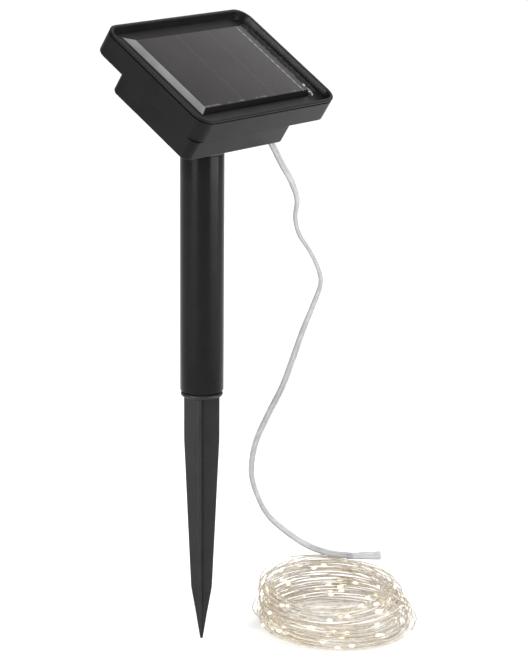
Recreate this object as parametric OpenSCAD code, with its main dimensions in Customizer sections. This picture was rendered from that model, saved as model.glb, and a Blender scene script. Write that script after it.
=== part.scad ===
// Solar string lights: a solar head on a ground stake, with a coiled string of small lamps.
// Origin at the stake's tip. +Z up the pole, +X along the tilt hinge, -Y the side the panel leans to.

/* [Head] */
// Width of the head along the hinge
head_w = 106; // [100:1:115]
// Depth of the head across the hinge
head_d = 75; // [72:1:85]
// Outer corner radius of the head
head_r = 8; // [6:0.5:10]
// Depth of the upper tray from the rim
tray_depth = 12.7; // [12:0.1:14]
// Depth from the rim to the underside of the battery box
box_depth = 23.4; // [23:0.1:25]
// Lean of the panel from level
tilt = 33; // [0:1:33]
// Wall of the mouldings
wall = 1.6; // [1.4:0.1:1.8]

/* [Panel] */
// Width of the solar panel
panel_w = 80.6; // [70:0.1:84]
// Depth of the solar panel
panel_d = 52.5; // [46:0.5:56]
// Height of the panel block on its floor
panel_t = 2.8; // [2.6:0.1:4]

/* [Battery box] */
// Left edge of the box, from the head's centre
box_left = -52.6; // [-53:0.1:-52]
// Right edge of the box, from the head's centre
box_right = 25; // [24:0.5:28]
// Front edge of the box, from the head's centre
box_front = -37.5; // [-37.5:0.1:-37]
// Back edge of the box, from the head's centre
box_back = 18.5; // [18.5:0.5:22]
// Corner radius of the box
box_r = 5; // [4:0.5:6]

/* [Stake] */
// Outer diameter of the pole
pole_d = 22; // [20:0.5:24]
// Wall of the pole
pole_wall = 1.5; // [1.2:0.1:2]
// Height of the pole's lower end above the stake's tip
pole_bottom = 133; // [130:1:140]
// Height of the pole's upper end
pole_top = 253; // [240:1:253]
// Half width of a fin along its straight part
fin_reach = 9; // [8:0.5:9.5]
// Thickness of a fin
fin_t = 2; // [1.6:0.2:2.4]
// Turn of the fins about the pole
fin_turn = 31; // [0:1:89]

/* [Hinge] */
// Height of the hinge axis above the pole's upper end
hinge_rise = 8; // [8:0.5:10]
// Distance of the hinge axis below the box
hinge_drop = 6.3; // [6.3:0.1:8]
// Radius of the knuckle and of the ears
knuckle_r = 5.5; // [5:0.1:5.5]
// Width of the knuckle
knuckle_w = 10; // [9:0.5:11]
// Diameter of the hinge bolt
bolt_d = 4; // [3.5:0.1:4.2]

/* [String] */
// Number of turns in the coil of lights
coil_turns = 44; // [40:1:44]
// Inner radius of the coil
coil_inner = 30; // [28:0.5:31]
// Outer radius of the coil
coil_outer = 42; // [41:0.5:43]
// Height of the coil as it lies
coil_h = 25.5; // [24:0.1:25.5]
// Number of lamps on the string
lamp_count = 100; // [80:10:100]
// Radius of a lamp's clear drop
lamp_r = 1.6; // [1.4:0.1:1.7]
// Diameter of the lead
lead_d = 3.4; // [2.6:0.1:3.6]

/* [Hidden] */
$fn = 64;
eps = 0.1;

// Levels in the head, counted from the rim along the panel's normal
flange_n = -1.2;
shell_n = -1.6;
floor_n = -4.2;
basin_n = -6.2;
tray_floor_n = -tray_depth + wall;
box_floor_n = -box_depth + wall;
glass_n = floor_n + panel_t;
cells_n = glass_n - 1.8;
base_n = cells_n - 0.4;
board_n = -16;
board_t = 1.6;

// Hinge axis, and where it lies under the head
pivot_z = pole_top + hinge_rise;
hinge_x = -16;
hinge_y = -18.5;
ear_gap = knuckle_w / 2 + 0.25;
ear_t = 3;
plate_t = 2;
washer_t = 0.8;
bolt_clear = 0.05;

// The panel sits a little to the right of the middle
panel_at = [0.7, 0];

// Box middle and size
box_mid = [(box_left + box_right) / 2, (box_front + box_back) / 2];
box_size = [box_right - box_left, box_back - box_front];

// Screw and piece places, from the head's centre
case_screw_at = [[46, 29.5], [46, -29.5], [-46, 29.5], [2, 29.5]];
box_screw_at = [[-47, -31.5], [-47, -4.5], [19.5, -22], [19.5, 13]];
bracket_screw_at = [for (sx = [-1, 1], sy = [-1, 1]) [hinge_x + sx * 9.5, hinge_y + sy * 9.5]];
board_screw_at = [[-39, -24.5], [12, -24.5]];
cover_screw_at = [[-48, 8.5], [12, 8.5]];
board_from = [-43, -28];
board_to = [16.4, -2];
button_at = [12, -8];
gland_at = [18, -31.7];
cell_r = 7;
cell_at = [8.5, -14];
cell_from = -42.2;
cell_len = 49.5;
cradle_from = [-46, 0.3];
cradle_to = [10, 16.7];
hatch_from = [-44, 1.5];
hatch_to = [8, 15.5];
cover_n = -box_depth - 0.3;
cover_t = 0.8;

// The coil lies beside the stake
coil_at = [57, -43];
// The lead's route from the gland down to the top of the coil
lead_route = [[35.1, -14.6, 256.6], [38, -16, 251], [41, -18, 244], [45, -21, 235], [47, -23, 226],
    [47, -22, 217], [49, -23, 208], [53, -27, 199], [56, -30, 190], [57, -31, 182], [55, -28, 171],
    [53, -23, 157], [51, -18, 141], [49, -13, 126], [46, -7, 112], [43, -1, 96], [43, 2, 80],
    [46, 1, 67], [52, -2, 54], [60, -8, 44], [70, -15, 35], [79, -23, 30], [88, -32, 28]];
splice_end = [98, -43, 28];
splice_r = 2.3;

// Moves its children from the head's own frame to where the hinge holds the head
module in_hinge() { translate([0, 0, pivot_z]) rotate([tilt, 0, 0]) children(); }
module in_head() { in_hinge() translate([-hinge_x, -hinge_y, box_depth + hinge_drop]) children(); }

// A point of the head's frame in the frame of the whole object
function head_point(p) = let (y = p[1] - hinge_y, z = p[2] + box_depth + hinge_drop)
    [p[0] - hinge_x, y * cos(tilt) - z * sin(tilt), pivot_z + y * sin(tilt) + z * cos(tilt)];

module rounded_rect(size, r) {
    square([size[0] - 2 * r, size[1]], center = true);
    square([size[0], size[1] - 2 * r], center = true);
    for (sx = [-1, 1], sy = [-1, 1])
        translate([sx * (size[0] / 2 - r), sy * (size[1] / 2 - r)]) circle(r);
}

// A rounded slab between two levels
module slab(size, r, low, high, at = [0, 0]) {
    translate([at[0], at[1], low]) linear_extrude(high - low) rounded_rect(size, r);
}

// A rounded slab a given distance inside the head's outline
module head_slab(inset, low, high) {
    slab([head_w - 2 * inset, head_d - 2 * inset], head_r - inset, low, high);
}

// A plain block between two corners
module block(from, to, low, high) {
    translate([from[0], from[1], low]) cube([to[0] - from[0], to[1] - from[1], high - low]);
}

// Upright cylinders at a list of places
module pins(places, r, low, high, fn = 32) {
    for (p = places) translate([p[0], p[1], low]) cylinder(r = r, h = high - low, $fn = fn);
}

// A round rod between two points
module rod(a, b, r) {
    d = b - a;
    translate(a) rotate([0, acos(d[2] / norm(d)), atan2(d[1], d[0])]) cylinder(r = r, h = norm(d), $fn = 24);
}

// A cylinder along the hinge axis between two places
module axle(r, from, to, fn = 48) {
    translate([from, 0, 0]) rotate([0, 90, 0]) cylinder(r = r, h = to - from, $fn = fn);
}

// Smooth curve through the route, as a function of the stretch and the part of it
function bend(a, b, c, d, t) = 0.5 * ((2 * b) + (c - a) * t + (2 * a - 5 * b + 4 * c - d) * t * t
    + (3 * b - a - 3 * c + d) * t * t * t);
function route_at(route, i, t) = let (n = len(route) - 1)
    bend(route[max(i - 1, 0)], route[i], route[min(i + 1, n)], route[min(i + 2, n)], t);
function route_points(route, steps) = concat(
    [for (i = [0:len(route) - 2], s = [0:steps - 1]) route_at(route, i, s / steps)],
    [route[len(route) - 1]]);
function unit(v) = v / norm(v);
function tangent(p, i) = unit(p[min(i + 1, len(p) - 1)] - p[max(i - 1, 0)]);

// Tube swept along points, as one closed mesh
module tube_along(points, r, sides) {
    rings = len(points);
    corners = [for (i = [0:rings - 1])
        let (t = tangent(points, i), side = unit(cross(t, [0.3, 1, 0.1])), up = cross(side, t))
        for (k = [0:sides - 1]) points[i] + r * (cos(360 * k / sides) * side + sin(360 * k / sides) * up)];
    walls = [for (i = [0:rings - 2], k = [0:sides - 1]) let (a = i * sides, n = (k + 1) % sides)
        [a + k, a + sides + k, a + sides + n, a + n]];
    polyhedron(corners, concat(walls, [[for (k = [0:sides - 1]) k]],
        [[for (k = [sides - 1:-1:0]) (rings - 1) * sides + k]]), convexity = 8);
}

// Place of a lamp on the coil: the string lies in four columns, one row above the other
lamp_pitch = 100;
coil_columns = 4;
coil_middle = (coil_inner + coil_outer) / 2;
function turn_radius(i) = coil_inner + 1.5 + (coil_outer - coil_inner - 3) / (coil_columns - 1)
    * (floor(i / coil_columns) % 2 == 0 ? i % coil_columns : coil_columns - 1 - i % coil_columns);
function turn_height(i) = 1.8 + (coil_h - 3.6) * floor(i / coil_columns) / (ceil(coil_turns / coil_columns) - 1);
function lamp_place(k) = let (turns = (k + 0.5) * lamp_pitch / (2 * PI * coil_middle), i = floor(turns))
    [turn_radius(i) * cos(360 * turns), turn_radius(i) * sin(360 * turns), turn_height(i)];

// ---- Stake ----
module ground_spike() color("#1b1b1c") {
    stub_r = pole_d / 2 - pole_wall - 0.05;
    neck = pole_bottom - 0.4;
    rotate([0, 0, fin_turn]) for (turn = [0, 90]) rotate([90, 0, turn])
        translate([0, 0, -fin_t / 2]) linear_extrude(fin_t) polygon([[-0.5, 0], [0.5, 0], [5.3, 28],
            [fin_reach, 108], [fin_reach, neck - 1], [-fin_reach, neck - 1], [-fin_reach, 108], [-5.3, 28]]);
    rotate_extrude() polygon([[0, neck - 2.7], [9.8, neck - 2.7], [10.6, neck - 1.9], [10.6, neck - 0.7],
        [9.9, neck], [stub_r, neck], [stub_r, neck + 19], [stub_r - 1, neck + 20], [0, neck + 20]]);
}

module pole_tube() color("#202022") rotate_extrude() polygon([[pole_d / 2 - pole_wall, pole_bottom],
    [pole_d / 2 - 0.6, pole_bottom], [pole_d / 2, pole_bottom + 0.6], [pole_d / 2, pole_top],
    [pole_d / 2 - pole_wall, pole_top]]);

module tilt_knuckle() color("#1b1b1c") {
    flange_t = 1.5;
    difference() {
        union() {
            translate([0, 0, pole_top - 14]) cylinder(r = pole_d / 2 - pole_wall - 0.05, h = 14 + eps);
            translate([0, 0, pole_top]) cylinder(r = pole_d / 2 - 0.3, h = flange_t);
            translate([-knuckle_w / 2, -knuckle_r, pole_top + flange_t - eps])
                cube([knuckle_w, 2 * knuckle_r, hinge_rise - flange_t + eps]);
            translate([0, 0, pivot_z]) axle(knuckle_r, -knuckle_w / 2, knuckle_w / 2);
        }
        translate([0, 0, pivot_z]) axle(bolt_d / 2 + bolt_clear, -knuckle_w, knuckle_w);
        translate([0, 0, pole_top - 14 - eps]) cylinder(r = pole_d / 2 - pole_wall - 2, h = 12);
    }
}

// ---- String of lights ----
module lead_cable() color("#c9cccb") tube_along(route_points(lead_route, 2), lead_d / 2, 8);

module lead_splice() color("#d5d8d8") rod(lead_route[len(lead_route) - 1], splice_end, splice_r);

module light_string() color("#b9b2a0") translate([coil_at[0], coil_at[1], 0]) rotate_extrude() {
    low = 3;
    polygon([[coil_inner + low, 0], [coil_outer - low, 0], [coil_outer, low], [coil_outer, coil_h - 5],
        [coil_outer - 4, coil_h], [coil_inner + low, coil_h], [coil_inner, coil_h - low], [coil_inner, low]]);
}

module led_drops() color("#ffe3a0") translate([coil_at[0], coil_at[1], 0])
    for (k = [0:lamp_count - 1]) translate(lamp_place(k)) sphere(lamp_r, $fn = 16);

// ---- Head: mouldings ----
module bezel_frame() color("#232425") in_head() difference() {
    union() {
        head_slab(0, flange_n, 0);
        head_slab(1.2, basin_n, flange_n + eps);
        pins(concat(case_screw_at, box_screw_at), 3, tray_floor_n, basin_n + eps);
    }
    hull() {
        slab([head_w - 3.8, head_d - 3.8], head_r - 1.9, 0, 1);
        slab([head_w - 6.4, head_d - 6.4], head_r - 3.2, floor_n, floor_n + eps);
    }
    block([-24, -12], [-16, -8], basin_n - eps, floor_n + eps);
    pins(concat(case_screw_at, box_screw_at), 1.2, tray_floor_n - eps, -7.4);
}

module tray_shell() color("#2b2c2e") in_head() difference() {
    head_slab(0, -tray_depth, shell_n);
    head_slab(1.2, tray_floor_n, 0);
    block([-43.5, -28], [15.5, 17], -tray_depth - eps, tray_floor_n + eps);
    block([-46.2, 0.1], [10.2, 17], -tray_depth - eps, tray_floor_n + eps);
    pins(concat(case_screw_at, box_screw_at), 1.35, -tray_depth - eps, tray_floor_n + eps);
}

module battery_box() color("#28292b") in_head() difference() {
    union() {
        difference() {
            slab(box_size, box_r, -box_depth, -tray_depth, box_mid);
            slab(box_size - [2 * wall, 2 * wall], box_r - wall, box_floor_n, -tray_depth + eps, box_mid);
        }
        pins(box_screw_at, 2.6, box_floor_n - eps, -tray_depth);
        pins(board_screw_at, 2, box_floor_n - eps, board_n - board_t);
        pins(bracket_screw_at, 2.2, box_floor_n - eps, -18);
        pins(cover_screw_at, 1.8, box_floor_n - eps, -18);
    }
    pins(box_screw_at, 1.35, -box_depth - eps, -tray_depth + eps);
    pins(box_screw_at, 2.5, -box_depth - eps, -box_depth + 1.2);
    pins(board_screw_at, 0.9, box_floor_n + 1, board_n);
    pins(concat(bracket_screw_at, cover_screw_at), 0.9, -box_depth - eps, -18.6);
    pins([button_at], 3.3, -box_depth - eps, box_floor_n + eps);
    pins([gland_at], 3, -box_depth - eps, box_floor_n + eps);
    block(hatch_from, hatch_to, -box_depth - eps, box_floor_n + eps);
}

module battery_cover() color("#26272a") in_head() difference() {
    union() {
        slab([65.2, 17], 1.5, cover_n - cover_t, cover_n, [-18, 8.5]);
        block(hatch_from + [0.3, 0.3], hatch_to - [0.3, 0.3], cover_n - eps, -22);
    }
    pins(cover_screw_at, 1.1, cover_n - cover_t - eps, cover_n + eps);
}

module cover_seal() color("#111111") in_head() difference() {
    block(hatch_from - [1.6, 1.3], hatch_to + [1.6, 1.3], cover_n, -box_depth);
    block(hatch_from, hatch_to, cover_n - eps, -box_depth + eps);
}

// ---- Head: solar panel ----
module panel_block(inset, low, high) {
    slab([panel_w - 2 * inset, panel_d - 2 * inset], 0.8, low, high, panel_at);
}
module panel_glass() color("#5a5757", 0.9) in_head() panel_block(0, cells_n, glass_n);
module solar_cells() color("#3a2f2e") in_head() panel_block(0.6, base_n, cells_n);
module panel_base() color("#151516") in_head() panel_block(0, floor_n, base_n);
module panel_sealant() color("#d8dcdc") in_head() difference() {
    panel_block(-1, floor_n, floor_n + 0.6);
    panel_block(0, floor_n - eps, floor_n + 1);
}
module panel_wires() color("#b02020") in_head()
    pins([[-21.3, -10], [-18.7, -10]], 0.6, board_n, floor_n);

// ---- Head: electronics ----
module circuit_board() color("#2e6b3c") in_head() difference() {
    block(board_from, board_to, board_n - board_t, board_n);
    pins(board_screw_at, 1.2, board_n - board_t - eps, board_n + eps);
}
module board_screws() color("#b4b6b8") in_head() {
    pins(board_screw_at, 1.9, board_n, board_n + 1.1);
    pins(board_screw_at, 0.9, board_n - 4, board_n + eps);
}
module control_chip() color("#18181a") in_head() block([-8, -17], [-3, -13], board_n, board_n + 1.6);
module boost_coil() color("#5b3a1c") in_head() difference() {
    pins([[4, -18]], 3.4, board_n, board_n + 4);
    pins([[4, -18]], 1, board_n + 3, board_n + 5);
}
module capacitor() color("#30343c") in_head() pins([[-30, -20]], 2.5, board_n, board_n + 7);
module switch_body() color("#1c1c1e") in_head() difference() {
    block(button_at - [3, 3], button_at + [3, 3], -19.6, board_n - board_t);
    pins([button_at], 1.6, -19.7, -18.1);
}
module switch_plunger() color("#d9d4c6") in_head() pins([button_at], 1.2, -20.9, -19.2);
module mode_button() color("#35373a") in_head() {
    pins([button_at], 3, -24.4, -21.2, 48);
    pins([button_at], 4.2, -21.6, -20.9, 48);
}
module lead_tail() color("#c7a46a") in_head() for (s = [-1, 1]) {
    low = [gland_at[0] + 0.8 * s, gland_at[1], -20.8];
    top = [low[0], low[1], -14.6];
    rod(low, top, 0.55);
    rod(top - [0, 0, 0.8], [12 + 1.2 * s, -26.5, -15.4], 0.55);
}
gland_from = head_point([gland_at[0], gland_at[1], -box_depth - 0.7]);
gland_dir = unit(lead_route[0] - gland_from);
module lead_gland() color("#1d1d1f") {
    in_head() pins([gland_at], 2.95, -box_depth - eps, -20.8);
    in_head() pins([gland_at], 3.9, -box_depth - 0.7, -box_depth);
    rod(gland_from, lead_route[0] - 0.35 * gland_dir, 2.4);
}

// ---- Head: battery ----
module battery_cradle() color("#2a2b2e") in_head() difference() {
    block(cradle_from, cradle_to, -21.6, -12.9);
    block(cradle_from + [0.9, 1], cradle_to - [0.9, 1], -22, -12);
}
module along_cell(x) { translate([x, cell_at[0], cell_at[1]]) rotate([0, 90, 0]) children(); }
module battery_cell() color("#3f7f4f") in_head() {
    along_cell(cell_from) cylinder(r = cell_r, h = cell_len);
    along_cell(cell_from + cell_len - eps) cylinder(r = 2.7, h = 1.3 + eps);
}
module battery_contact() color("#b9bbbd") in_head()
    translate([cradle_to[0] - 1.4, cell_at[0] - 3.5, -20]) cube([0.5, 7, 7]);
module battery_spring() color("#b9bbbd") in_head() for (k = [0:3]) along_cell(-44.65 + 0.65 * k)
    rotate_extrude($fn = 48) translate([4.2 - 0.4 * k, 0]) circle(r = 0.45, $fn = 16);

// ---- Fasteners ----
module screws(places, head_r, head_low, head_high, shaft_r, top) {
    pins(places, head_r, head_low, head_high);
    pins(places, shaft_r, head_high - eps, top);
}
module cover_screws() color("#9a9c9e") in_head()
    screws(cover_screw_at, 1.8, cover_n - cover_t - 0.5, cover_n - cover_t, 0.9, -19);
module case_screws() color("#9a9c9e") in_head()
    screws(case_screw_at, 2.2, -tray_depth - 1.3, -tray_depth, 1.2, -7.6);
module box_screws() color("#9a9c9e") in_head()
    screws(box_screw_at, 2.2, -box_depth, -box_depth + 1.2, 1.2, -7.6);
module bracket_screws() color("#9a9c9e") in_head()
    screws(bracket_screw_at, 2, -box_depth - plate_t - 1.1, -box_depth - plate_t, 0.9, -19);

// ---- Hinge ----
module tilt_bracket() color("#1b1b1c") in_hinge() difference() {
    union() {
        translate([-13, -12.5, hinge_drop - plate_t]) cube([26, 25, plate_t]);
        for (s = [-1, 1]) translate([s * (ear_gap + ear_t / 2), 0, 0]) {
            axle(knuckle_r, -ear_t / 2, ear_t / 2);
            translate([-ear_t / 2, -knuckle_r, 0]) cube([ear_t, 2 * knuckle_r, hinge_drop]);
        }
    }
    translate([-ear_gap, -knuckle_r, -eps]) cube([2 * ear_gap, 2 * knuckle_r, hinge_drop + 2 * eps]);
    axle(bolt_d / 2 + bolt_clear, -20, 20);
    translate([-hinge_x, -hinge_y, 0]) pins(bracket_screw_at, 1.1, 0, hinge_drop + eps);
}
washer_from = ear_gap + ear_t;
washer_to = washer_from + washer_t;
module pivot_bolt() color("#a7a9ab") in_hinge() {
    axle(bolt_d / 2, -washer_to - 4, washer_to + eps);
    axle(3.6, washer_to, washer_to + 2.4);
}
module pivot_washers() color("#b7b9bb") in_hinge() for (s = [-1, 1]) scale([s, 1, 1]) difference() {
    axle(4.2, washer_from, washer_to);
    axle(bolt_d / 2 + 0.2, washer_from - 1, washer_to + 1);
}
module pivot_nut() color("#a7a9ab") in_hinge() difference() {
    axle(4.04, -washer_to - 3.2, -washer_to, 6);
    axle(bolt_d / 2, -washer_to - 4, -washer_to + 1);
}

ground_spike();
pole_tube();
tilt_knuckle();
lead_cable();
lead_splice();
light_string();
led_drops();
bezel_frame();
tray_shell();
battery_box();
panel_glass();
solar_cells();
panel_base();
panel_sealant();
panel_wires();
circuit_board();
board_screws();
control_chip();
boost_coil();
capacitor();
switch_body();
switch_plunger();
mode_button();
lead_tail();
lead_gland();
battery_cradle();
battery_cell();
battery_contact();
battery_spring();
cover_seal();
battery_cover();
cover_screws();
case_screws();
box_screws();
tilt_bracket();
bracket_screws();
pivot_bolt();
pivot_washers();
pivot_nut();
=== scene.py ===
"""The solar string lights: what is seen of each part, on the CAD frame."""
import math
import random

import bmesh
import bpy
import numpy as np
from mathutils import Matrix, Vector


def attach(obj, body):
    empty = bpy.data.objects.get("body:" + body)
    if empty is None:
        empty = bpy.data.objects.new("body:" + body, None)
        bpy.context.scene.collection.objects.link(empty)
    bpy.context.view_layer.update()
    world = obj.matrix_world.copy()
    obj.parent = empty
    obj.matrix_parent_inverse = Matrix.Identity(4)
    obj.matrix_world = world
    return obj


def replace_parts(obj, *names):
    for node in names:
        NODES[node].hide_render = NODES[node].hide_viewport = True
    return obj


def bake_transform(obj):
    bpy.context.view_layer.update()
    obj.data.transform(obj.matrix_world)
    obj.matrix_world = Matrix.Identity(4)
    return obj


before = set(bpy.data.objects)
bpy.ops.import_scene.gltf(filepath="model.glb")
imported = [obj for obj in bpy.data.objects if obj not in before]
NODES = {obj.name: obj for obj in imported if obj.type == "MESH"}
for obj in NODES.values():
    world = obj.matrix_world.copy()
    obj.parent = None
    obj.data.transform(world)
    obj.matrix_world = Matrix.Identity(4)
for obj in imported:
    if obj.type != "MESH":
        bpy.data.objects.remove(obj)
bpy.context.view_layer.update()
MM = 0.001
UP = Vector((0, 0, 1))

# ---- Camera ----
AZIMUTH, ELEVATION, ROLL = (math.radians(a) for a in (-51.84, 13.96, 0.46))
CAMERA_DISTANCE = 1.206
RIGHT = Vector((math.cos(AZIMUTH), math.sin(AZIMUTH), 0))
BACK = Vector((math.sin(AZIMUTH) * math.cos(ELEVATION), -math.cos(AZIMUTH) * math.cos(ELEVATION),
               math.sin(ELEVATION)))
AWAY = UP.cross(RIGHT)


def camera():
    data = bpy.data.cameras.new("camera")
    data.sensor_fit, data.sensor_height, data.lens = "VERTICAL", 36, 131.6
    data.clip_start, data.clip_end = 0.05, 60
    obj = bpy.data.objects.new("camera", data)
    bpy.context.scene.collection.objects.link(obj)
    up = BACK.cross(RIGHT)
    x = RIGHT * math.cos(ROLL) + up * math.sin(ROLL)
    y = up * math.cos(ROLL) - RIGHT * math.sin(ROLL)
    target = RIGHT * 0.03102 + UP * 0.16402
    turn = Matrix((x, y, BACK)).transposed().to_4x4()
    obj.matrix_world = Matrix.Translation(target + BACK * CAMERA_DISTANCE) @ turn
    bpy.context.scene.camera = obj


camera()

# ---- The head's own frame: x along the hinge, y towards the back, z out of the panel ----
TILT = math.radians(33)
HINGE_Z = 261 * MM
HEAD = (Matrix.Translation((0, 0, HINGE_Z)) @ Matrix.Rotation(TILT, 4, "X")
        @ Matrix.Translation(Vector((16, 18.5, 29.7)) * MM))
HEAD_HALF = (53, 37.5)
HEAD_R = 8
TRAY_DEPTH, BOX_DEPTH = 12.7, 23.4
BOX_MID, BOX_HALF, BOX_R = (-13.8, -9.5), (38.8, 28), 5
PANEL_MID, PANEL_HALF, PANEL_R = (0.7, 0), (40.3, 26.25), 0.8
FLOOR_N, GLASS_N, CELLS_N, BASE_N = -4.2, -1.4, -3.2, -3.6
BOX_SCREWS = ((-47, -31.5), (-47, -4.5), (19.5, -22), (19.5, 13))

POLE_R, POLE_WALL, POLE_BOTTOM, POLE_TOP = 11, 1.5, 133, 253
FIN_TURN = math.radians(31)

# ---- Materials ----


def new_material(name, rough, **sockets):
    """A material, its tree, its shader and its object coordinates. The sockets are set as they are."""
    mat = bpy.data.materials.new(name)
    mat.use_nodes = True
    tree = mat.node_tree
    shader = tree.nodes["Principled BSDF"]
    shader.inputs["Roughness"].default_value = rough
    for key, value in sockets.items():
        shader.inputs[key.replace("_", " ")].default_value = value
    coords = tree.nodes.new("ShaderNodeTexCoord").outputs["Object"]
    return mat, tree, shader, coords


def noise(tree, coords, scale, detail=3.0, stretch=None):
    if stretch:
        mapping = tree.nodes.new("ShaderNodeMapping")
        mapping.inputs["Scale"].default_value = stretch
        tree.links.new(coords, mapping.inputs["Vector"])
        coords = mapping.outputs["Vector"]
    node = tree.nodes.new("ShaderNodeTexNoise")
    node.inputs["Scale"].default_value = scale
    node.inputs["Detail"].default_value = detail
    tree.links.new(coords, node.inputs["Vector"])
    return node.outputs["Fac"]


def ranged(tree, value, low, high, to_low=0.0, to_high=1.0):
    node = tree.nodes.new("ShaderNodeMapRange")
    for socket, number in zip(node.inputs[1:5], (low, high, to_low, to_high)):
        socket.default_value = number
    tree.links.new(value, node.inputs["Value"])
    return node.outputs["Result"]


def mixed(tree, factor, a, b):
    """Colour a where factor is 0 and b where it is 1. Each is a socket or three numbers."""
    node = tree.nodes.new("ShaderNodeMix")
    node.data_type = "RGBA"
    tree.links.new(factor, node.inputs["Factor"])
    for socket, colour in ((node.inputs[6], a), (node.inputs[7], b)):
        if isinstance(colour, bpy.types.NodeSocket):
            tree.links.new(colour, socket)
        else:
            socket.default_value = (*colour, 1)
    return node.outputs[2]


def bumped(tree, shader, height, strength, distance):
    node = tree.nodes.new("ShaderNodeBump")
    node.inputs["Strength"].default_value = strength
    node.inputs["Distance"].default_value = distance
    tree.links.new(height, node.inputs["Height"])
    tree.links.new(node.outputs["Normal"], shader.inputs["Normal"])


def shade(colour, factor):
    return tuple(min(1, c * factor) for c in colour)


def moulded(name, colour, rough, grain=1800, grain_depth=0.03, vary=0.25, specks=0.0, **sockets):
    """A moulded plastic: cloudy tone, uneven gloss, fine grain, and specks of dust."""
    mat, tree, shader, coords = new_material(name, rough, **sockets)
    cloud = noise(tree, coords, 60)
    base = mixed(tree, ranged(tree, cloud, 0.3, 0.7), shade(colour, 1 - vary), shade(colour, 1 + vary))
    if specks:
        dust = ranged(tree, noise(tree, coords, 1100, 1), 0.76 - specks, 0.8 - specks)
        base = mixed(tree, dust, base, shade(colour, 4))
    tree.links.new(base, shader.inputs["Base Color"])
    gloss = ranged(tree, noise(tree, coords, 110), 0.3, 0.7, rough - 0.02, rough + 0.03)
    tree.links.new(gloss, shader.inputs["Roughness"])
    bumped(tree, shader, noise(tree, coords, grain), grain_depth, 0.0004)
    return mat


def brushed(name, colour, rough, along=(1, 1, 8), **sockets):
    """A metal with fine drawn lines."""
    mat, tree, shader, coords = new_material(name, rough, Metallic=1.0, **sockets)
    lines = noise(tree, coords, 900, 2, along)
    base = mixed(tree, ranged(tree, lines, 0.3, 0.7), shade(colour, 0.8), shade(colour, 1.1))
    tree.links.new(base, shader.inputs["Base Color"])
    tree.links.new(ranged(tree, lines, 0.3, 0.7, rough - 0.06, rough + 0.08), shader.inputs["Roughness"])
    bumped(tree, shader, lines, 0.05, 0.0002)
    return mat


def clear(name, colour, rough, streaks, **sockets):
    """A clear soft plastic with faint streaks along it."""
    mat, tree, shader, coords = new_material(name, rough, IOR=1.46, **sockets)
    streak = noise(tree, coords, streaks, 2)
    base = mixed(tree, ranged(tree, streak, 0.35, 0.65), shade(colour, 0.9), shade(colour, 1.06))
    tree.links.new(base, shader.inputs["Base Color"])
    tree.links.new(ranged(tree, streak, 0.3, 0.7, rough - 0.05, rough + 0.05), shader.inputs["Roughness"])
    bumped(tree, shader, noise(tree, coords, 700), 0.05, 0.0003)
    return mat


def panel_face_material():
    """Dark cells seen through clear resin: pale joints between them, a stitched bus line, and painted shade
    in a dark band just inside the right edge.
    """
    mat, tree, shader, coords = new_material("panel_face", 0.28, Specular_IOR_Level=0.15)
    split = tree.nodes.new("ShaderNodeSeparateXYZ")
    tree.links.new(coords, split.inputs["Vector"])
    x, y = split.outputs["X"], split.outputs["Y"]
    base = mixed(tree, ranged(tree, noise(tree, coords, 35), 0.3, 0.7), (0.016, 0.0145, 0.014),
                 (0.022, 0.0195, 0.019))

    def near(axis, place, half):
        """1 at a place along that axis, falling to 0 at half millimetres from it."""
        away = tree.nodes.new("ShaderNodeMath")
        away.operation = "SUBTRACT"
        tree.links.new(axis, away.inputs[0])
        away.inputs[1].default_value = place * MM
        size = tree.nodes.new("ShaderNodeMath")
        size.operation = "ABSOLUTE"
        tree.links.new(away.outputs[0], size.inputs[0])
        return ranged(tree, size.outputs[0], half * MM * 0.6, half * MM, 1, 0)

    def both(a, b):
        node = tree.nodes.new("ShaderNodeMath")
        node.operation = "MULTIPLY"
        tree.links.new(a, node.inputs[0])
        tree.links.new(b, node.inputs[1])
        return node.outputs[0]

    for place in (-10.3, 13.7):
        base = mixed(tree, near(x, place, 0.35), base, (0.036, 0.035, 0.034))
    wave = tree.nodes.new("ShaderNodeTexWave")
    wave.bands_direction = "Y"
    wave.inputs["Scale"].default_value = 75
    wave.inputs["Distortion"].default_value = 1.5
    tree.links.new(coords, wave.inputs["Vector"])
    stitch = both(near(x, 36.9, 0.5), ranged(tree, wave.outputs["Fac"], 0.3, 0.6, 0.45, 1))
    base = mixed(tree, stitch, base, (0.2, 0.195, 0.19))
    # Painted shade: the dark band just inside the right edge stands in for the shadow along that edge
    base = mixed(tree, near(x, 39.4, 1.1), base, (0.012, 0.012, 0.012))
    front = both(near(y, -25.4, 0.5), ranged(tree, noise(tree, coords, 180), 0.5, 0.62))
    base = mixed(tree, front, base, (0.09, 0.088, 0.085))
    tree.links.new(base, shader.inputs["Base Color"])
    tree.links.new(ranged(tree, noise(tree, coords, 240), 0.3, 0.7, 0.25, 0.28), shader.inputs["Roughness"])
    bumped(tree, shader, noise(tree, coords, 60), 0.03, 0.0004)
    return mat


def string_material():
    """Thin copper pair in clear enamel: silver where bare of tint, tan at random, and a painted lamplight
    glow.
    """
    # Painted glow: the faint warm emission stands in for the lamps' light falling on the wires
    mat, tree, shader, coords = new_material(
        "string_wire", 0.35, Transmission_Weight=0.3, IOR=1.4, Specular_IOR_Level=0.25,
        Emission_Color=(1, 0.9, 0.76, 1), Emission_Strength=0.06)
    tone = ranged(tree, noise(tree, coords, 55, 2), 0.38, 0.62)
    base = mixed(tree, tone, (0.4, 0.38, 0.35), (0.42, 0.325, 0.205))
    fine = ranged(tree, noise(tree, coords, 420, 2), 0.35, 0.65)
    base = mixed(tree, fine, base, (0.64, 0.59, 0.5))
    tree.links.new(base, shader.inputs["Base Color"])
    bumped(tree, shader, noise(tree, coords, 1500), 0.08, 0.0002)
    return mat


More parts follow.
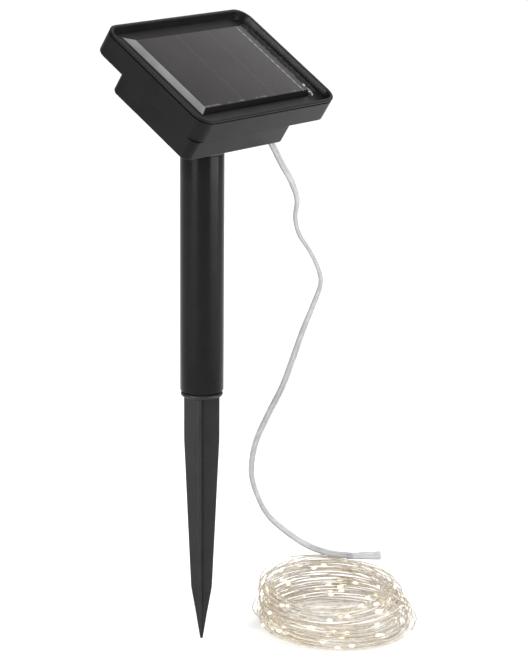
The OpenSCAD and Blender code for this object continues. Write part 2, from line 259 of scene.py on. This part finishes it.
def glowing(name, colour, glow, strength, **sockets):
    mat, tree, shader, coords = new_material(name, 0.15, **sockets)
    shader.inputs["Emission Color"].default_value = (*glow, 1)
    shader.inputs["Emission Strength"].default_value = strength
    tone = ranged(tree, noise(tree, coords, 500), 0.3, 0.7)
    tree.links.new(mixed(tree, tone, shade(colour, 0.85), colour), shader.inputs["Base Color"])
    return mat


CASE = (0.0045, 0.0045, 0.0048)
MATERIALS = {
    "case_plastic": moulded("case_plastic", CASE, 0.3, specks=0.03, Specular_IOR_Level=0.1),
    "pole_plastic": moulded("pole_plastic", (0.004, 0.004, 0.0043), 0.2, 900, 0.02, 0.2, 0.02,
                            Specular_IOR_Level=0.1),
    "stake_plastic": moulded("stake_plastic", (0.008, 0.008, 0.0083), 0.36, 1200, 0.05, 0.3, 0.04,
                             Specular_IOR_Level=0.25),
    "clear_lead": clear("clear_lead", (0.46, 0.465, 0.465), 0.2, 130, Transmission_Weight=0.5),
    "clear_sleeve": clear("clear_sleeve", (0.5, 0.505, 0.51), 0.2, 200, Transmission_Weight=0.5),
    "string_wire": string_material(),
    "lamp_resin": glowing("lamp_resin", (1, 0.95, 0.84), (1, 0.9, 0.72), 0.28, Transmission_Weight=0.5),
    "lamp_chip": glowing("lamp_chip", (1, 0.9, 0.6), (1, 0.9, 0.7), 2.0),
    "panel_glass": panel_face_material(),
    "solar_cell": moulded("solar_cell", (0.09, 0.075, 0.072), 0.3, 500, 0.02),
    "panel_base": moulded("panel_base", (0.004, 0.004, 0.0042), 0.45, 900, 0.05, Specular_IOR_Level=0.03),
    "sealant": clear("sealant", (0.8, 0.82, 0.82), 0.1, 200, Transmission_Weight=0.75),
    "wire_insulation": moulded("wire_insulation", (0.45, 0.03, 0.03), 0.35),
    "circuit_board": moulded("circuit_board", (0.03, 0.16, 0.06), 0.35, 2200, 0.08),
    "screw_steel": brushed("screw_steel", (0.5, 0.5, 0.51), 0.28),
    "chip_plastic": moulded("chip_plastic", (0.02, 0.02, 0.022), 0.55, 2500, 0.1),
    "copper_winding": brushed("copper_winding", (0.6, 0.33, 0.16), 0.3, (1, 1, 14)),
    "capacitor_sleeve": moulded("capacitor_sleeve", (0.04, 0.05, 0.08), 0.2),
    "plunger_plastic": moulded("plunger_plastic", (0.7, 0.67, 0.58), 0.5),
    "button_plastic": moulded("button_plastic", (0.05, 0.052, 0.055), 0.45),
    "gland_rubber": moulded("gland_rubber", (0.02, 0.02, 0.021), 0.6, 1500, 0.1),
    "battery_wrap": moulded("battery_wrap", (0.05, 0.22, 0.08), 0.2),
    "nickel": brushed("nickel", (0.62, 0.62, 0.6), 0.2),
    "seal_rubber": moulded("seal_rubber", (0.015, 0.015, 0.015), 0.65, 1500, 0.1),
    "sealant_wash": moulded("sealant_wash", (0.018, 0.019, 0.02), 0.16, 500, 0.12, 0.3,
                            Specular_IOR_Level=0.6),
    "panel_edge": moulded("panel_edge", (0.2, 0.2, 0.21), 0.4, 700, 0.12, 0.2),
}


def dressed(obj, slot, body=None, look=None):
    """Gives obj the material of its look, or of its slot when no look is given, and lets it ride on a body.
    """
    obj.data.materials.clear()
    obj.data.materials.append(MATERIALS[look or slot])
    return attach(obj, body) if body else obj


# ---- Mesh building ----
# In degrees: edges sharper than SHARP stay crisp, and edges from BEVELLED_FROM get rounded over
SHARP, BEVELLED_FROM = 35, 30


def mesh_object(name, points, faces, place=Matrix.Identity(4), sharp=SHARP):
    """A mesh from points in millimetres, smooth apart from edges sharper than that angle."""
    mesh = bpy.data.meshes.new(name)
    mesh.from_pydata([Vector(p) * MM for p in points], [], faces)
    tidy = bmesh.new()
    tidy.from_mesh(mesh)
    bmesh.ops.recalc_face_normals(tidy, faces=tidy.faces)
    tidy.to_mesh(mesh)
    tidy.free()
    return place_object(name, mesh, place, sharp)


def smooth(mesh, sharp=SHARP):
    mesh.polygons.foreach_set("use_smooth", [True] * len(mesh.polygons))
    mesh.set_sharp_from_angle(angle=math.radians(sharp))


def place_object(name, mesh, place=Matrix.Identity(4), sharp=SHARP):
    smooth(mesh, sharp)
    obj = bpy.data.objects.new(name, mesh)
    bpy.context.scene.collection.objects.link(obj)
    obj.matrix_world = place
    return obj


def loft(rings, capped=True):
    """Points and faces of a skin over rings that all have the same number of points."""
    count = len(rings[0])
    points = [p for ring in rings for p in ring]
    faces = [(r * count + k, r * count + (k + 1) % count,
              (r + 1) * count + (k + 1) % count, (r + 1) * count + k)
             for r in range(len(rings) - 1) for k in range(count)]
    if capped:
        faces.append(tuple(range(count))[::-1])
        faces.append(tuple(len(points) - count + k for k in range(count)))
    return points, faces


def together(*parts):
    """Several (points, faces) as one."""
    points, faces = [], []
    for more_points, more_faces in parts:
        start = len(points)
        points += more_points
        faces += [tuple(start + k for k in face) for face in more_faces]
    return points, faces


def rounded(half, radius, level, mid=(0, 0), steps=8):
    """Ring of a rounded rectangle at a level."""
    radius = max(radius, 0.05)
    ring = []
    for k, (sx, sy) in enumerate(((1, 1), (-1, 1), (-1, -1), (1, -1))):
        for step in range(steps + 1):
            angle = math.radians(90 * (k + step / steps))
            ring.append((mid[0] + sx * (half[0] - radius) + radius * math.cos(angle),
                         mid[1] + sy * (half[1] - radius) + radius * math.sin(angle), level))
    return ring


def inset_ring(half, radius, inset, level, mid=(0, 0)):
    return rounded((half[0] - inset, half[1] - inset), radius - inset, level, mid)


def revolved(profile, steps=64):
    """Skin of a profile of (radius, height) turned about Z."""
    return loft([[(r * math.cos(2 * math.pi * k / steps), r * math.sin(2 * math.pi * k / steps), z)
                  for k in range(steps)] for r, z in profile])


def arc(mid, radius, start, end, steps=4):
    """Points (a, b) on an arc, its angles in degrees."""
    return [(mid[0] + radius * math.cos(math.radians(start + (end - start) * k / steps)),
             mid[1] + radius * math.sin(math.radians(start + (end - start) * k / steps)))
            for k in range(steps + 1)]


def cut(obj, points, faces):
    """Takes a closed shape, given in the object's own millimetres, away from obj."""
    tool = mesh_object("cutter", points, faces, obj.matrix_world.copy())
    modifier = obj.modifiers.new("cut", "BOOLEAN")
    modifier.operation, modifier.solver, modifier.object = "DIFFERENCE", "EXACT", tool
    bpy.context.view_layer.update()
    mesh = bpy.data.meshes.new_from_object(obj.evaluated_get(bpy.context.evaluated_depsgraph_get()))
    obj.modifiers.clear()
    obj.data = mesh
    bpy.data.objects.remove(tool)
    smooth(mesh)


def softened(node, slot, body, bevel):
    """A copy of a CAD node's shape with its edges rounded over, in place of that node."""
    shape = bmesh.new()
    shape.from_mesh(NODES[node].data)
    bmesh.ops.remove_doubles(shape, verts=shape.verts, dist=0.01 * MM)
    bmesh.ops.dissolve_limit(shape, angle_limit=math.radians(1), verts=shape.verts, edges=shape.edges)
    edges = [e for e in shape.edges
             if len(e.link_faces) == 2 and e.calc_face_angle() > math.radians(BEVELLED_FROM)]
    bmesh.ops.bevel(shape, geom=edges, offset=bevel * MM, offset_type="OFFSET", segments=3, profile=0.5,
                    affect="EDGES", clamp_overlap=True)
    mesh = bpy.data.meshes.new(node + "_look")
    shape.to_mesh(mesh)
    shape.free()
    obj = place_object(node + "_look", mesh)
    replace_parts(obj, node)
    return dressed(obj, slot, body)


def disc(at, radius, low, high, steps=32):
    return loft([[(at[0] + radius * math.cos(2 * math.pi * k / steps),
                   at[1] + radius * math.sin(2 * math.pi * k / steps), level)
                  for k in range(steps)] for level in (low, high)])


# ---- The lead: a flat clear twin cable from the gland to the coil ----
LEAD_ROUTE = ((35.1, -14.6, 256.6), (38, -16, 251), (41, -18, 244), (45, -21, 235), (47, -23, 226),
              (47, -22, 217), (49, -23, 208), (53, -27, 199), (56, -30, 190), (57, -31, 182),
              (55, -28, 171), (53, -23, 157), (51, -18, 141), (49, -13, 126), (46, -7, 112),
              (43, -1, 96), (43, 2, 80), (46, 1, 67), (52, -2, 54), (60, -8, 44), (70, -15, 35),
              (79, -23, 30), (88, -32, 28))
SPLICE_END = (98, -43, 28)
LEAD_WIDTH, LEAD_THICKNESS = 3.4, 2.0
LEAD_CORE_R, LEAD_CORE_OFF = 0.3, 0.72
# Turn of the flat side, in degrees, at shares of the lead's length
LEAD_TWIST = ((0, 5), (0.1, 10), (0.2, 62), (0.34, 75), (0.46, 50), (0.56, 15), (0.68, 25),
              (0.78, 58), (0.88, 40), (0.95, 5), (1, 0))


def spline(route, steps):
    """Smooth points through a route."""
    stops = [Vector(p) for p in (route[0], *route, route[-1])]
    points = []
    for a, b, c, d in zip(stops, stops[1:], stops[2:], stops[3:]):
        for k in range(steps):
            t = k / steps
            points.append(0.5 * (2 * b + (c - a) * t + (2 * a - 5 * b + 4 * c - d) * t * t
                                 + (3 * b - a - 3 * c + d) * t ** 3))
    return [*points, stops[-1]]


def swept(path, section, turns):
    """Skin of a section of (across, through) swept along a path. At 0 degrees its width faces the front."""
    rings = []
    for i, point in enumerate(path):
        along = (path[min(i + 1, len(path) - 1)] - path[max(i - 1, 0)]).normalized()
        across = along.cross(BACK).normalized()
        through = across.cross(along)
        turn = turns[i]
        wide = across * math.cos(turn) + through * math.sin(turn)
        thin = through * math.cos(turn) - across * math.sin(turn)
        rings.append([point + wide * a + thin * b for a, b in section])
    return loft(rings)


def twin_section(steps=20):
    """Outline of two cores side by side, with a waist between them."""
    ring = []
    for k in range(steps):
        angle = 2 * math.pi * k / steps
        a = LEAD_WIDTH / 2 * math.cos(angle)
        rise = LEAD_THICKNESS / 2 * math.copysign(abs(math.sin(angle)) ** 0.7, math.sin(angle))
        ring.append((a, rise * (1 - 0.3 * math.exp(-(a / 0.5) ** 2))))
    return ring


def lead():
    path = spline(LEAD_ROUTE, 6)
    shares, degrees = zip(*LEAD_TWIST)
    turns = [math.radians(np.interp(i / (len(path) - 1), shares, degrees)) for i in range(len(path))]
    cable = dressed(mesh_object("lead", *swept(path, twin_section(), turns)), "clear_lead")
    core = arc((0, 0), LEAD_CORE_R, 0, 315, 7)
    cores = together(*(swept(path, [(a + side * LEAD_CORE_OFF, b) for a, b in core], turns)
                       for side in (-1, 1)))
    wires = dressed(mesh_object("lead_cores", *cores), "string_wire")
    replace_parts(cable, "lead_cable")
    for piece in (cable, wires):
        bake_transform(piece)


lead()


def splice():
    """The sleeve where the lead meets the string: it widens over the two cores and ends bluntly."""
    start, end = Vector(LEAD_ROUTE[-1]), Vector(SPLICE_END)
    along = (end - start).normalized()
    side = along.cross(BACK).normalized()
    up = side.cross(along)
    rings = []
    for share, swell in ((-0.25, 0.6), (-0.22, 1.03), (0, 1.06), (0.35, 1.14), (0.7, 1.26), (0.92, 1.32),
                         (0.98, 1.28), (1, 1.1)):
        mid = start + (end - start) * share
        rings.append([mid + side * a * swell + up * b * swell for a, b in twin_section()])
    sleeve = dressed(mesh_object("lead_sleeve", *loft(rings)), "clear_sleeve", "stake")
    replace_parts(sleeve, "lead_splice")


splice()

# ---- The string: a thin pair of wires wound in a loose coil, with a lamp every 100 mm ----
COIL_AT = Vector((57, -43, 0))
COIL_ROWS, COIL_COLUMNS = 12, 4
STRING_D = 0.72
# The string is two strands of this radius, this far from its middle, turned by so much per millimetre
STRAND_R, STRAND_OFF, STRAND_TWIST = 0.17, 0.19, 0.09
LAMP_COUNT = 100
# Half the size of a lamp: along the string, away from it and across it
LAMP_LONG, LAMP_OUT, LAMP_ACROSS = 1.7, 1.0, 0.9
COIL_TURNS, STEPS_PER_TURN = 46.4, 64
# The string leaves the sleeve straight and joins the coil over this share of a turn
LEAD_IN_R, LEAD_IN_TURNS = 30, 0.16
chance = random.Random(41)
WAVES = [(chance.uniform(0.3, 3.4), chance.uniform(0, 7), chance.uniform(0, 7)) for _ in range(7)]
# Loops that stand out of the coil: which turn, which way, and by how much
STRAYS = ((13, -0.94, 3.2), (22, 0.86, 4.2), (31, -0.8, 4.4), (38, 0.9, 3.0), (27, -0.2, 2.6))


def eased(t):
    t = min(max(t, 0), 1)
    return t * t * (3 - 2 * t)


def coil_point(turns):
    """Where the string lies after that many turns. It starts at the top, beside the lead."""
    start = math.atan2(LEAD_ROUTE[-1][1] - COIL_AT.y, LEAD_ROUTE[-1][0] - COIL_AT.x)
    angle = start + 2 * math.pi * turns
    way = Vector((math.cos(angle), math.sin(angle), 0))
    ring, share = int(turns), eased((turns % 1 - 0.8) / 0.2)

    def seat(i):
        row, column = divmod(min(i, COIL_ROWS * COIL_COLUMNS - 1), COIL_COLUMNS)
        height = 1 - row / (COIL_ROWS - 1)
        column = column if row % 2 else COIL_COLUMNS - 1 - column
        # The coil narrows upwards, on its outer side more than on its inner
        inner, outer = 32 - 4.5 * height, 41.6 - 7 * height ** 1.3
        return inner + (outer - inner) * column / (COIL_COLUMNS - 1), height

    (r0, h0), (r1, h1) = seat(ring), seat(ring + 1)
    radius, height = r0 + (r1 - r0) * share, h0 + (h1 - h0) * share
    radius += 0.75 * sum(math.sin(2 * math.pi * f * turns + a) for f, a, _ in WAVES) / 2
    lift = 0.7 * sum(math.sin(2 * math.pi * f * turns + b) for f, _, b in WAVES) / 2
    for turn, side, reach in STRAYS:
        if abs(turns - turn) < 0.5:
            radius += reach * max(0, way.dot(RIGHT) * math.copysign(1, side)) ** 3 * abs(side)
    # The far side lies a little higher, and the upper rows lean to the left
    level = (1.7 + 22.6 * height) * (1 + 0.13 * way.dot(AWAY)) + lift * (0.3 + height * 0.7)
    mid = COIL_AT + RIGHT * (2.3 - 6.6 * height)
    return mid + way * radius + UP * max(level, STRING_D * 0.6), way


def string_path():
    """Points along the string and the outward directions there."""
    start = Vector(LEAD_ROUTE[-1]) + Vector((-0.3, 0.3, 0.6))
    path, ways = [], []
    for k in range(int(COIL_TURNS * STEPS_PER_TURN)):
        turns = k / STEPS_PER_TURN
        point, way = coil_point(turns)
        straight = start + UP.cross(way) * (2 * math.pi * LEAD_IN_R * turns)
        path.append(straight.lerp(point, eased(turns / LEAD_IN_TURNS)))
        ways.append(way)
    return path, ways


def string():
    path, ways = string_path()
    runs = np.concatenate([[0], np.cumsum([(b - a).length for a, b in zip(path, path[1:])])])
    strands = []
    for side in (-1, 1):
        rings = []
        for i, (point, way) in enumerate(zip(path, ways)):
            along = (path[min(i + 1, len(path) - 1)] - path[max(i - 1, 0)]).normalized()
            up = along.cross(way).normalized()
            out = up.cross(along)
            turn = STRAND_TWIST * runs[i]
            shift = (out * math.cos(turn) + up * math.sin(turn)) * STRAND_OFF * side
            rings.append([point + shift + (out * math.cos(a) + up * math.sin(a)) * STRAND_R
                          for a in (2 * math.pi * k / 6 for k in range(6))])
        strands.append(loft(rings))
    wires = dressed(mesh_object("string_wires", *together(*strands), sharp=80), "string_wire", "stake")
    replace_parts(wires, "light_string")

    drops, chips = [], []
    for k in range(LAMP_COUNT):
        run = (k + 0.5) * runs[-1] / LAMP_COUNT
        i = int(np.searchsorted(runs, run))
        point, way = path[i], ways[i]
        along = (path[i + 1] - path[i - 1]).normalized()
        up = along.cross(way).normalized()
        out = up.cross(along)
        lean = chance.uniform(0, 2 * math.pi)
        side = out * math.cos(lean) + up * math.sin(lean)
        other = along.cross(side)
        bead, chip = [], []
        for ring in range(7):
            a = math.pi * (ring + 0.5) / 7
            girth, reach = math.sin(a) ** 0.8, -math.cos(a)
            bead.append([point + side * 0.3 + along * (LAMP_LONG * reach)
                         + (side * math.cos(b) * LAMP_OUT + other * math.sin(b) * LAMP_ACROSS) * girth
                         for b in (2 * math.pi * n / 12 for n in range(12))])
        for reach in (-0.5, 0.5):
            chip.append([point + side * 0.5 + along * reach + side * x + other * y
                         for x, y in ((-0.2, -0.35), (0.3, -0.35), (0.3, 0.35), (-0.2, 0.35))])
        drops.append(loft(bead))
        chips.append(loft(chip))
    beads = dressed(mesh_object("lamp_drops", *together(*drops), sharp=80), "lamp_resin", "stake")
    lights = dressed(mesh_object("lamp_chips", *together(*chips)), "lamp_resin", "stake", "lamp_chip")
    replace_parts(beads, "led_drops")


string()

# ---- Stake ----


def pole():
    """A plain tube with a rolled lower lip."""
    inner = POLE_R - POLE_WALL
    profile = [(inner, POLE_BOTTOM + 0.3), (inner + 0.3, POLE_BOTTOM)]
    profile += arc((POLE_R - 0.7, POLE_BOTTOM + 0.7), 0.7, -90, 0)
    profile += [(POLE_R, z) for z in (150, 180, 210, 240)]
    profile += arc((POLE_R - 0.1, POLE_TOP - 0.1), 0.1, 0, 90)
    profile += [(inner, POLE_TOP), (inner, POLE_TOP - 1), (inner, 200), (inner, POLE_BOTTOM + 0.3)]
    points, faces = revolved(profile, 96)
    # The profile closes on itself, so the two caps go
    tube = dressed(mesh_object("pole", points, faces[:-2]), "pole_plastic", "stake")
    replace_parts(tube, "pole_tube")


def spike():
    """Four tapered fins under a rounded collar."""
    heights = ((0, 0.4), (0.6, 0.75), (14, 2.9), (27, 5.15), (28, 5.3), (29.5, 5.4), (60, 6.85), (90, 8.2),
               (106, 8.95), (110, 9), (120, 9), (131, 9))
    rings = []
    for z, reach in heights:
        half = min(1.0, 0.25 + z * 0.03)
        root = min(0.9, reach * 0.2)
        lip = min(0.3, half * 0.5, reach * 0.2)
        ring = []
        for arm in range(4):
            turn = FIN_TURN + arm * math.pi / 2
            out = Vector((math.cos(turn), math.sin(turn), 0))
            side = Vector((-math.sin(turn), math.cos(turn), 0))
            for a, b in ((half + root * 0.3, -half - root * 0.3), (half + root, -half),
                         (reach - lip, -half * 0.9), (reach - lip * 0.3, -half * 0.9 + lip * 0.3),
                         (reach, -half * 0.9 + lip), (reach, half * 0.9 - lip),
                         (reach - lip * 0.3, half * 0.9 - lip * 0.3), (reach - lip, half * 0.9),
                         (half + root, half)):
                ring.append(out * a + side * b + UP * z)
        rings.append(ring)
    neck = POLE_BOTTOM - 0.4
    collar = [(0.01, neck - 2.7), (9.5, neck - 2.7)]
    collar += arc((9.45, neck - 1.4), 1.2, -75, 75, 8)
    collar += [(9.5, neck), (9.4, neck), (9.4, neck + 19), (8.6, neck + 20), (0.01, neck + 20)]
    shape = together(loft(rings), revolved(collar, 72))
    obj = dressed(mesh_object("spike", *shape, sharp=40), "stake_plastic", "stake")
    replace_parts(obj, "ground_spike")


pole()
spike()
softened("tilt_knuckle", "stake_plastic", "stake", 0.2)

# ---- Head mouldings ----


def bezel():
    """The frame round the panel: a rounded rim, walls that lean in, and the channel floor."""
    def ring(inset, level):
        return inset_ring(HEAD_HALF, HEAD_R, inset, level)

    rings = [ring(1.2, -6.2), ring(1.2, -1.2), ring(0.12, -1.2), ring(0, -1.05)]
    rings += [ring(0.45 - a, b - 0.45) for a, b in arc((0, 0), 0.45, 0, 90, 4)]
    rings += [ring(1.45, 0)]
    rings += [ring(1.45 + a, -0.45 + b) for a, b in arc((0, 0), 0.45, 90, 10, 4)]
    rings += [ring(2.1, -1.1), ring(3.0, -3.7), ring(3.2, -4.05), ring(3.6, FLOOR_N), ring(9, FLOOR_N)]
    obj = dressed(mesh_object("bezel", *loft(rings), HEAD), "case_plastic", "head")
    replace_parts(obj, "bezel_frame")


def tray():
    """The upper tray: an open shell with a crisp lower edge."""
    def ring(inset, level):
        return inset_ring(HEAD_HALF, HEAD_R, inset, level)

    rings = [ring(1.9, -11.1), ring(1.7, -10.6), ring(1.6, -6.3), ring(1.3, -6.2), ring(1.25, -1.7),
             ring(1.1, -1.75), ring(0.15, -1.75), ring(0, -1.9),
             ring(0, -2.1), ring(0, -TRAY_DEPTH + 0.2)]
    rings += [ring(0.1 - a, b - TRAY_DEPTH + 0.1) for a, b in arc((0, 0), 0.1, 0, -90, 2)]
    obj = mesh_object("tray", *loft([*rings, ring(12, -TRAY_DEPTH)]), HEAD)
    cut(obj, *loft([rounded((30, 22), 2, z, (-14, -5.5)) for z in (-13.5, -10.8)]))
    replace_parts(dressed(obj, "case_plastic", "head"), "tray_shell")


def box():
    """The battery box below: rounded lower edge, and sunk screws in its underside."""
    def ring(inset, level):
        return inset_ring(BOX_HALF, BOX_R, inset, level, BOX_MID)

    rings = [ring(1.8, -21.8), ring(1.6, -21.2), ring(1.6, -12.7), ring(0, -12.7),
             ring(0, -BOX_DEPTH + 0.75)]
    rings += [ring(0.7 - a, b - BOX_DEPTH + 0.7) for a, b in arc((0, 0), 0.7, 0, -90, 4)]
    obj = mesh_object("box", *loft([*rings, ring(10, -BOX_DEPTH)]), HEAD)
    holes = [disc(at, 2.5, -24, -BOX_DEPTH + 1.2) for at in BOX_SCREWS]
    holes += [disc((12, -8), 3.3, -24, -21), disc((18, -31.7), 3, -24, -21)]
    holes += [loft([rounded((26, 7), 0.6, z, (-18, 8.5)) for z in (-24, -21)])]
    cut(obj, *together(*holes))
    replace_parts(dressed(obj, "case_plastic", "head"), "battery_box")


def slab(name, low, high, edge):
    """A block with the panel's outline between two levels, its edges rounded over."""
    rings = [inset_ring(PANEL_HALF, PANEL_R, edge - a, level + b, PANEL_MID)
             for level, start in ((low + edge, -90), (high - edge, 0))
             for a, b in arc((0, 0), edge, start, start + 90, 3)]
    return mesh_object(name, *loft(rings), HEAD)


def panel():
    """The block of resin with the cells in it, on its base."""
    for name, node, low, high, edge in (("panel_face", "panel_glass", CELLS_N, GLASS_N, 0.25),
                                        ("panel_block", "panel_base", FLOOR_N, BASE_N, 0.1)):
        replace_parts(dressed(slab(name, low, high, edge), node, "head"), node)


def panel_edge():
    """A painted reflection: the pale strip along the block's left side, which runs on behind it."""
    left = PANEL_MID[0] - PANEL_HALF[0]
    low, high = FLOOR_N + 0.05, GLASS_N - 0.1
    points = [(left - 2.0, -27.6, low), (left - 2.4, 32.2, low), (left - 0.02, -25.9, high),
              (left - 0.02, 26.4, high), (left + 0.2, -26.2, low), (left + 0.2, 26.4, low)]
    faces = [(0, 1, 3, 2), (2, 3, 5, 4), (4, 5, 1, 0), (0, 2, 4), (1, 5, 3)]
    # Painted reflection: the strip's pale look stands in for light reflected off the block's left side
    dressed(mesh_object("panel_edge", points, faces, HEAD), "sealant", "head", "panel_edge")


def sealant():
    """A fillet of painted shade round the block, a clear smear at its front right corner, and a spread
    beside it.
    """
    rings = []
    for inset, level in ((0, 0.02), (-1.6, 0.02), (-1.5, 0.25), (-0.9, 1.0), (-0.3, 2.1), (-0.02, 2.5)):
        rings.append(inset_ring(PANEL_HALF, PANEL_R, inset, FLOOR_N + level, PANEL_MID))
    # Painted shade: the fillet takes the black panel_base look because the channel round the block lies in
    # shadow
    bead = mesh_object("sealant_bead", *loft(rings, capped=False), HEAD)
    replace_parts(dressed(bead, "sealant", "head", "panel_base"), "panel_sealant")
    corner = Vector((PANEL_MID[0] + PANEL_HALF[0], -PANEL_HALF[1], GLASS_N))
    blob, curve = [], []
    for k in range(7):
        a = math.pi / 2 * k / 6.5
        girth, level = math.cos(a), -0.3 + 0.95 * math.sin(a)
        blob.append([corner + Vector((-0.4 + girth * math.cos(b), 3.6 + 1.1 * girth * math.sin(b), level))
                     for b in (2 * math.pi * n / 14 for n in range(14))])
    for k in range(13):
        angle = math.radians(80 - 110 * k / 12)
        out = Vector((math.cos(angle), math.sin(angle), 0))
        mid = corner + Vector((-1.6, -0.8, -0.4 - 1.5 * k / 12)) + out * 3.6
        curve.append([mid + out * x + UP * y for x, y in arc((0, 0), 0.38, 0, 315, 7)])
    dressed(mesh_object("sealant_smear", *together(loft(blob), loft(curve)), HEAD), "sealant", "head")
    # Spread unevenly along the right channel, up to the wall's foot
    wash, steps = [], 90
    near, foot = PANEL_MID[0] + PANEL_HALF[0] + 0.3, HEAD_HALF[0] - 3.62
    across = (near, 43.4, 45.2, 46.7, 48.2, foot)
    for k in range(steps + 1):
        y = -26 + 56 * k / steps
        thin = math.sin(math.pi / 2 * min(1, (k + 0.5) / 6, (steps + 0.5 - k) / 6))
        wave = math.sin(k * 0.55) + 0.6 * math.sin(k * 1.37 + 1)
        top = [0.42 + 0.07 * math.sin(k * 0.8 + 2), 0.5 + 0.09 * wave, 0.3 + 0.06 * math.sin(k * 0.43),
               0.46 + 0.1 * math.sin(k * 0.31 + wave), 0.3 + 0.05 * wave, 0.6 + 0.06 * math.sin(k * 0.9)]
        wash.append([(near, y, FLOOR_N + 0.01), *((x, y, FLOOR_N + h * thin) for x, h in zip(across, top)),
                     (foot, y, FLOOR_N + 0.01)])
    dressed(mesh_object("sealant_wash", *loft(wash), HEAD, sharp=80), "sealant", "head", "sealant_wash")


def crossed(node, slot, places, low):
    """Screws with rounded heads and a cross recess, in place of a CAD node."""
    obj = softened(node, slot, "head", 0.25)
    to_object = obj.matrix_world.inverted() @ HEAD
    for at in places:
        for half in ((1.3, 0.25), (0.25, 1.3)):
            points, faces = loft([rounded(half, 0.05, z, at, 1) for z in (low - 1, low + 0.7)])
            cut(obj, [to_object @ (Vector(p) * MM) / MM for p in points], faces)


bezel()
tray()
box()
panel()
panel_edge()
sealant()
softened("battery_cover", "case_plastic", "head", 0.25)
softened("tilt_bracket", "case_plastic", "head", 0.4)
softened("lead_gland", "gland_rubber", "head", 0.25)
softened("mode_button", "button_plastic", "button", 0.35)
softened("pivot_bolt", "screw_steel", "head", 0.3)
softened("pivot_washers", "screw_steel", "head", 0.12)
softened("pivot_nut", "screw_steel", "head", 0.2)
crossed("cover_screws", "screw_steel", ((-48, 8.5), (12, 8.5)), -26.1)
crossed("case_screws", "screw_steel", ((46, 29.5), (46, -29.5), (-46, 29.5), (2, 29.5)), -14)
crossed("box_screws", "screw_steel", BOX_SCREWS, -BOX_DEPTH)
crossed("bracket_screws", "screw_steel",
        [(-16 + a * 9.5, -18.5 + b * 9.5) for a in (-1, 1) for b in (-1, 1)], -26.5)

# ---- The CAD parts that are shown as they are ----
CAD_SLOTS = {
    "solar_cells": "solar_cell", "panel_wires": "wire_insulation", "circuit_board": "circuit_board",
    "board_screws": "screw_steel", "control_chip": "chip_plastic", "boost_coil": "copper_winding",
    "capacitor": "capacitor_sleeve", "switch_body": "chip_plastic", "switch_plunger": "plunger_plastic",
    "lead_tail": "wire_insulation", "battery_cradle": "case_plastic", "battery_cell": "battery_wrap",
    "battery_contact": "nickel", "battery_spring": "nickel", "cover_seal": "seal_rubber",
}
for node, slot in CAD_SLOTS.items():
    dressed(NODES[node], slot)

# ---- Studio ----
FLOOR_HALF = 25000


def area_light(name, at, aim, size, power):
    data = bpy.data.lights.new(name, "AREA")
    data.shape, data.size, data.size_y, data.energy = "RECTANGLE", size[0], size[1], power
    obj = bpy.data.objects.new(name, data)
    bpy.context.scene.collection.objects.link(obj)
    turn = (aim - at).to_track_quat("-Z", "Y").to_matrix().to_4x4()
    obj.matrix_world = Matrix.Translation(at) @ turn


def studio():
    world = bpy.data.worlds.new("studio")
    world.use_nodes = True
    world.node_tree.nodes["Background"].inputs["Color"].default_value = (1, 1, 1, 1)
    world.node_tree.nodes["Background"].inputs["Strength"].default_value = 0.4
    bpy.context.scene.world = world
    bpy.context.scene.view_settings.view_transform = "Standard"
    sun = bpy.data.lights.new("soft_key", "SUN")
    sun.energy, sun.angle = 2.2, math.radians(70)
    obj = bpy.data.objects.new("soft_key", sun)
    bpy.context.scene.collection.objects.link(obj)
    obj.matrix_world = Vector((-0.25, -0.35, 1)).to_track_quat("Z", "Y").to_matrix().to_4x4()
    middle = UP * 0.18
    area_light("left_band", BACK * 1.05 - RIGHT * 0.75, middle, (0.6, 1.2), 8)
    area_light("right_band", BACK * 0.45 + RIGHT * 1.15, middle, (1.1, 1.2), 27)
    area_light("inside_wall", Vector((-1.48, 0.45, 0.68)), UP * 0.28, (0.5, 0.5), 20)
    area_light("panel_sky", Vector((1.2, 0.03, 1.25)), UP * 0.28, (1.3, 1.3), 5)
    corners = [(x * FLOOR_HALF, y * FLOOR_HALF, -0.02) for x, y in ((-1, -1), (1, -1), (1, 1), (-1, 1))]
    floor = mesh_object("floor", corners, [(0, 1, 2, 3)])
    floor.data.materials.append(moulded("floor", (0.82, 0.82, 0.82), 0.8, 40, 0.0, 0.01,
                                      Emission_Strength=0.17))


studio()
